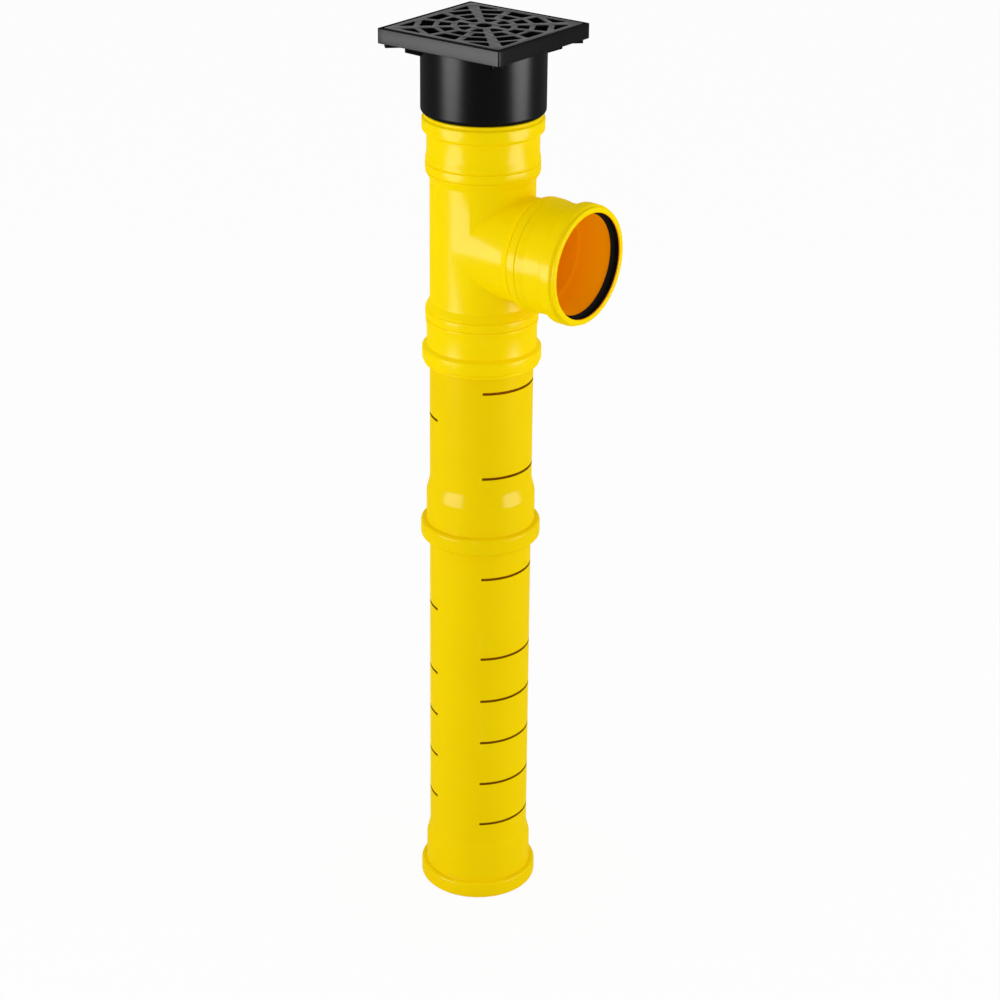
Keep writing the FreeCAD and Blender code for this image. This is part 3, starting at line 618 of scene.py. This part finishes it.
polypropylene, shader, _, grit = black_polypropylene(
    "moulded_black_polypropylene", Specular_IOR_Level=0, Coat_Roughness=0.26)
(GULLY_GLOSS + grit * GRIT_GLOSS).into(shader.inputs["Coat Weight"])
gully = ring_piece("gully_moulding", gully_rings(rounded([
    (PIPE_INSIDE, SPIGOT_FOOT, SPIGOT_BORE_ROUND, ROUND),
    (PIPE_INSIDE, SLEEVE_FLOOR, SLEEVE_FLOOR_ROUND, ROUND),
    (SLEEVE_BORE, SLEEVE_FLOOR, SLEEVE_FLOOR_ROUND, ROUND),
    (SLEEVE_BORE, TRAY_FLOOR, SLEEVE_TOP_ROUND, ROUND),
    (TRAY_HALF, TRAY_FLOOR, TRAY_ROUND, SQUARE),
    (TRAY_HALF, FRAME_TOP, TRAY_ROUND, SQUARE),
    (FRAME_HALF, FRAME_TOP, RIM_ROUND, SQUARE),
    (FRAME_HALF, FRAME_BOTTOM, RIM_FOOT_ROUND, SQUARE),
    (TRAY_HALF, FRAME_BOTTOM, RIM_BACK_ROUND, SQUARE),
    (TRAY_HALF, PLATE_UNDER, TRAY_ROUND, SQUARE),
    (SLEEVE, PLATE_UNDER, SLEEVE_HEAD_ROUND, ROUND),
    (SLEEVE, GULLY_SHOULDER, SLEEVE_FOOT_ROUND, ROUND),
    (PIPE_OUTSIDE, GULLY_SHOULDER, SPIGOT_TOP_ROUND, ROUND),
    (PIPE_OUTSIDE, SPIGOT_FOOT + SPIGOT_BEVEL, SPIGOT_BEVEL_ROUND, ROUND),
    (SPIGOT_TIP, SPIGOT_FOOT, SPIGOT_TIP_ROUND, ROUND),
])))
gully.data.materials.append(polypropylene)
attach(gully, "gully")
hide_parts("gully_body")

# Corner supports of the gully: a thin gusset and a short thick lug under each corner of the frame, moulded
# with it. They carry the corner and key the frame into the bedding.
GUSSET = [(62.65, 980.4), (62.65, 961.3), (79.86, 965.8), (79.86, 980.4)]
GUSSET_THICKNESS = 3.0
LUG = [(84.26, 980.4), (84.26, 971.8), (100.26, 971.8), (100.26, 980.4)]
LUG_WIDTH = 10.0
DIAGONALS = np.radians([45, 135, 225, 315])
PLATE_CORNERS = 8
PLATE_FACES = np.array([
    (0, 1, 2, 3), (4, 5, 6, 7), (0, 1, 5, 4), (1, 2, 6, 5), (2, 3, 7, 6), (3, 0, 4, 7),
])
SUPPORT_EDGE = 0.5


def corner_supports(outline, thickness):
    """Four-sided outline of (distance along the diagonal, height) made a plate of that thickness and set on
    the four diagonals: points are the distance times the diagonal plus half the thickness across it."""
    along, height = np.array(outline).T
    angles = DIAGONALS[:, None, None]
    across = np.array([-0.5, 0.5])[:, None] * thickness
    x = np.cos(angles) * along - np.sin(angles) * across
    y = np.sin(angles) * along + np.cos(angles) * across
    return np.stack([x, y, np.broadcast_to(height, x.shape)], -1).reshape(-1, 3)


plates = np.vstack([corner_supports(GUSSET, GUSSET_THICKNESS), corner_supports(LUG, LUG_WIDTH)])
starts = np.arange(0, len(plates), PLATE_CORNERS)[:, None, None]
supports = make_piece("gully_corner_supports", plates, (PLATE_FACES + starts).reshape(-1, 4).tolist())
edge = supports.modifiers.new("soft_edges", "BEVEL")
edge.width = SUPPORT_EDGE * MM
edge.segments = 2
supports.data.materials.append(polypropylene)
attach(supports, "gully")

# Grate: a flat web moulded in black polypropylene with a grained face, which lies loose in the tray. Three
# rings of twelve sides and twelve spokes leave the slots that the water runs through, and the hub has a
# lifting hole.
GRATE_HALF = 71.75
GRATE_THICKNESS = 8.0
GRATE_CORNER = 2.5
GRATE_EDGE = 0.5
WEB_HALF = 64.95
RINGS = {"outer": (64.15, 70.15), "middle": (45.65, 51.15), "inner": (27.15, 33.65)}
RING_SIDE = 30
HUB = 16.0
HUB_SIDE = 27
HUB_HOLE = 8.0
HUB_HOLE_SIDES = 48
HUB_SPOKE_HALF = 3.5
SIDE_SPOKE = 15
SIDE_SPOKE_HALF = 3.8
CORNER_SPOKE = 45
CORNER_SPOKE_START = 8.0
CORNER_SPOKE_START_HALF = 3.3
CORNER_SPOKE_SLOPE = 0.0358
CELL_ROUND = 1.2
GRATE_ROUGHNESS = 0.22
FLOW_ROUGHENS = 0.06
GRIT_ROUGHENS = 0.08


def ribs_line(degrees, distance):
    """Straight edge of a rib as (normal x, normal y, distance from the hub) at an angle."""
    return np.cos(np.radians(degrees)), np.sin(np.radians(degrees)), distance


def cell_corners(lines):
    """Corners of a cell whose sides lie on the lines in turn: each solves its line and the next one."""
    lines = np.array(lines)
    pairs = np.stack([lines, np.roll(lines, -1, 0)], 1)
    return np.linalg.solve(pairs[..., :2], pairs[..., 2:])[..., 0]


def about_hub(corners, mirrored):
    """Outlines of a cell with its corners eased by the cell's round, turned to the four sides, with their
    mirror images across the diagonal if there are any."""
    cell = rounded(np.column_stack([corners, np.full(len(corners), CELL_ROUND)]), steps=3)
    cells = [cell, cell[::-1, ::-1]] if mirrored else [cell]
    return [each @ turn for each in cells for turn in QUARTER_TURNS]


slope = np.degrees(np.arctan(CORNER_SPOKE_SLOPE))
half_at_hub = CORNER_SPOKE_START_HALF - CORNER_SPOKE_SLOPE * CORNER_SPOKE_START
corner_edge = ribs_line(90 + CORNER_SPOKE - slope, -half_at_hub * np.cos(np.radians(slope)))
outlines = []
for inside, outside in (("middle", "outer"), ("inner", "middle")):
    low, high = RINGS[inside][1], RINGS[outside][0]
    facing = cell_corners([
        ribs_line(0, high), ribs_line(90 + SIDE_SPOKE, -SIDE_SPOKE_HALF),
        ribs_line(0, low), ribs_line(-90 - SIDE_SPOKE, -SIDE_SPOKE_HALF),
    ])
    beside = cell_corners([
        ribs_line(RING_SIDE, high), corner_edge,
        ribs_line(RING_SIDE, low), ribs_line(90 + SIDE_SPOKE, SIDE_SPOKE_HALF),
    ])
    outlines += about_hub(facing, False) + about_hub(beside, True)
outer_edge, inner_edge = RINGS["outer"][1], RINGS["inner"][0]
outlines += about_hub(cell_corners([
    ribs_line(0, WEB_HALF), corner_edge, ribs_line(RING_SIDE, outer_edge),
]), True)
outlines += about_hub(cell_corners([
    ribs_line(0, inner_edge), ribs_line(RING_SIDE, inner_edge), corner_edge,
    ribs_line(HUB_SIDE, HUB), ribs_line(90, HUB_SPOKE_HALF),
]), True)
circle = np.linspace(0, 2 * np.pi, HUB_HOLE_SIDES, endpoint=False)
outlines.append(HUB_HOLE * np.stack([np.cos(circle), np.sin(circle)], -1))
outlines.append(rounded([
    (x * GRATE_HALF, y * GRATE_HALF, GRATE_CORNER) for x, y in ((1, 1), (-1, 1), (-1, -1), (1, -1))
]))

web = bpy.data.curves.new("grate_outlines", "CURVE")
web.dimensions = "2D"
web.fill_mode = "BOTH"
web.extrude = (GRATE_THICKNESS / 2 - GRATE_EDGE) * MM
web.bevel_depth = GRATE_EDGE * MM
web.bevel_resolution = 2
web.offset = -GRATE_EDGE * MM
for outline in outlines:
    spline = web.splines.new("POLY")
    spline.points.add(len(outline) - 1)
    place = np.column_stack([outline * MM, np.zeros(len(outline)), np.ones(len(outline))])
    spline.points.foreach_set("co", place.ravel())
    spline.use_cyclic_u = True
drawn = bpy.data.objects.new("grate_outlines", web)
bpy.context.scene.collection.objects.link(drawn)
flat_web = bpy.data.meshes.new_from_object(drawn.evaluated_get(bpy.context.evaluated_depsgraph_get()))
bpy.data.objects.remove(drawn)
corners = np.empty(len(flat_web.vertices) * 3)
flat_web.vertices.foreach_get("co", corners)
corners = corners.reshape(-1, 3) / MM + (0, 0, TRAY_FLOOR + GRATE_THICKNESS / 2)
grate = make_piece("grate_web", corners, [tuple(face.vertices) for face in flat_web.polygons])
grained, shader, flow, grit = black_polypropylene("grained_black_polypropylene", Specular_IOR_Level=0.055)
(GRATE_ROUGHNESS + flow * FLOW_ROUGHENS + grit * GRIT_ROUGHENS).into(shader.inputs["Roughness"])
grate.data.materials.append(grained)
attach(grate, "gully")
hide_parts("grate")

# Studio: a plain white floor in an evenly lit white room, in metres and watts. Soft lamps left, right and
# in front light the surfaces, and two upright oval panels that only the gloss shows give it bright bands.
FLOOR_HALF = 60.0
FLOOR_DROP = 0.0003
FLOOR_GLOW = 0.94
PAPER_WHITE = (0.9, 0.9, 0.9, 1)
WHITE = (1, 1, 1, 1)
ROOM_LIGHT = 0.66
ROOM_SEEN = 0.975
CAMERA_AZIMUTH = np.radians(37.2)
CAMERA_DISTANCE = 2.469
CAMERA_HEIGHT = 1.585
CAMERA_YAW = np.radians(-0.49)
CAMERA_PITCH = np.radians(24.3)
CAMERA_ROLL = np.radians(0.63)
CAMERA_LENS = 89.7


def seen_directly(tone):
    """1 for rays that come from the camera, a reflection or a clear body, and 0 for other light."""
    rays = [tone.node("ShaderNodeLightPath", {}, {}, kind)
            for kind in ("Is Camera Ray", "Is Glossy Ray", "Is Transmission Ray")]
    clamped = {"operation": "ADD", "use_clamp": True}
    return tone.node("ShaderNodeMath", clamped, {0: rays[0] + rays[1], 1: rays[2]})


def stand_at(turn, distance, height):
    """Place at a distance from the object's axis and a height, turned from its front to the right."""
    return np.sin(turn) * distance, -np.cos(turn) * distance, height


def soft_lamp(name, turn, distance, height, width, tall, watts, bands):
    """Upright soft lamp at an angle from the camera's side, in degrees to the right, facing the object's
    axis. One for bands is seen in the gloss only, and any other one lights the surfaces only."""
    around = CAMERA_AZIMUTH + np.radians(turn)
    lamp = bpy.data.objects.new(name, bpy.data.lights.new(name, "AREA"))
    lamp.data.shape = "ELLIPSE" if bands else "RECTANGLE"
    lamp.data.size = width
    lamp.data.size_y = tall
    lamp.data.energy = watts
    lamp.location = stand_at(around, distance, height)
    lamp.rotation_euler = (np.pi / 2, 0, around)
    lamp.visible_camera = False
    lamp.visible_glossy = bands
    lamp.visible_diffuse = not bands
    bpy.context.scene.collection.objects.link(lamp)


room = bpy.data.worlds.new("room")
bpy.context.scene.world = room
room.use_nodes = True
background = room.node_tree.nodes["Background"]
background.inputs["Color"].default_value = WHITE
room_seen = seen_directly(Tone(room.node_tree))
(ROOM_LIGHT + room_seen * (ROOM_SEEN - ROOM_LIGHT)).into(background.inputs["Strength"])

floor_mesh = bpy.data.meshes.new("floor")
floor_corners = np.array([(-1, -1, 0), (1, -1, 0), (1, 1, 0), (-1, 1, 0)]) * FLOOR_HALF
floor_corners -= (0, 0, FLOOR_DROP)
floor_mesh.from_pydata(floor_corners.tolist(), [], [(0, 1, 2, 3)])
floor = bpy.data.objects.new("floor", floor_mesh)
bpy.context.scene.collection.objects.link(floor)
paper, tone, shader = new_finish(
    "white_paper", Base_Color=PAPER_WHITE, Roughness=0.9, Specular_IOR_Level=0)
glow = tone.node("ShaderNodeEmission", {}, {"Color": WHITE, "Strength": 1.0})
plain_paper = Tone(tone.tree, shader.outputs[0])
floor_seen = seen_directly(tone) * FLOOR_GLOW
mixed = tone.node("ShaderNodeMixShader", {}, {0: floor_seen, 1: plain_paper, 2: glow})
mixed.into(paper.node_tree.nodes["Material Output"].inputs["Surface"])
floor_mesh.materials.append(paper)

soft_lamp("left_panel", turn=-60, distance=1.8, height=0.53, width=1.46, tall=0.86, watts=131, bands=True)
soft_lamp("right_panel", turn=70, distance=1.8, height=0.53, width=1.4, tall=0.86, watts=120, bands=True)
soft_lamp("left_lamp", turn=-75, distance=2.4, height=0.9, width=1.2, tall=1.8, watts=18.5, bands=False)
soft_lamp("right_lamp", turn=85, distance=2.4, height=0.9, width=1.2, tall=1.8, watts=18.5, bands=False)
soft_lamp("front_lamp", turn=0, distance=3.2, height=1.2, width=2.0, tall=2.0, watts=10.5, bands=False)

camera = bpy.data.objects.new("camera", bpy.data.cameras.new("camera"))
camera.data.lens = CAMERA_LENS
camera.matrix_world = (
    Matrix.Translation(stand_at(CAMERA_AZIMUTH, CAMERA_DISTANCE, CAMERA_HEIGHT))
    @ Matrix.Rotation(CAMERA_AZIMUTH + CAMERA_YAW, 4, "Z")
    @ Matrix.Rotation(np.pi / 2 - CAMERA_PITCH, 4, "X")
    @ Matrix.Rotation(CAMERA_ROLL, 4, "Z")
)
bpy.context.scene.collection.objects.link(camera)
bpy.context.scene.camera = camera
bpy.context.scene.view_settings.view_transform = "Standard"
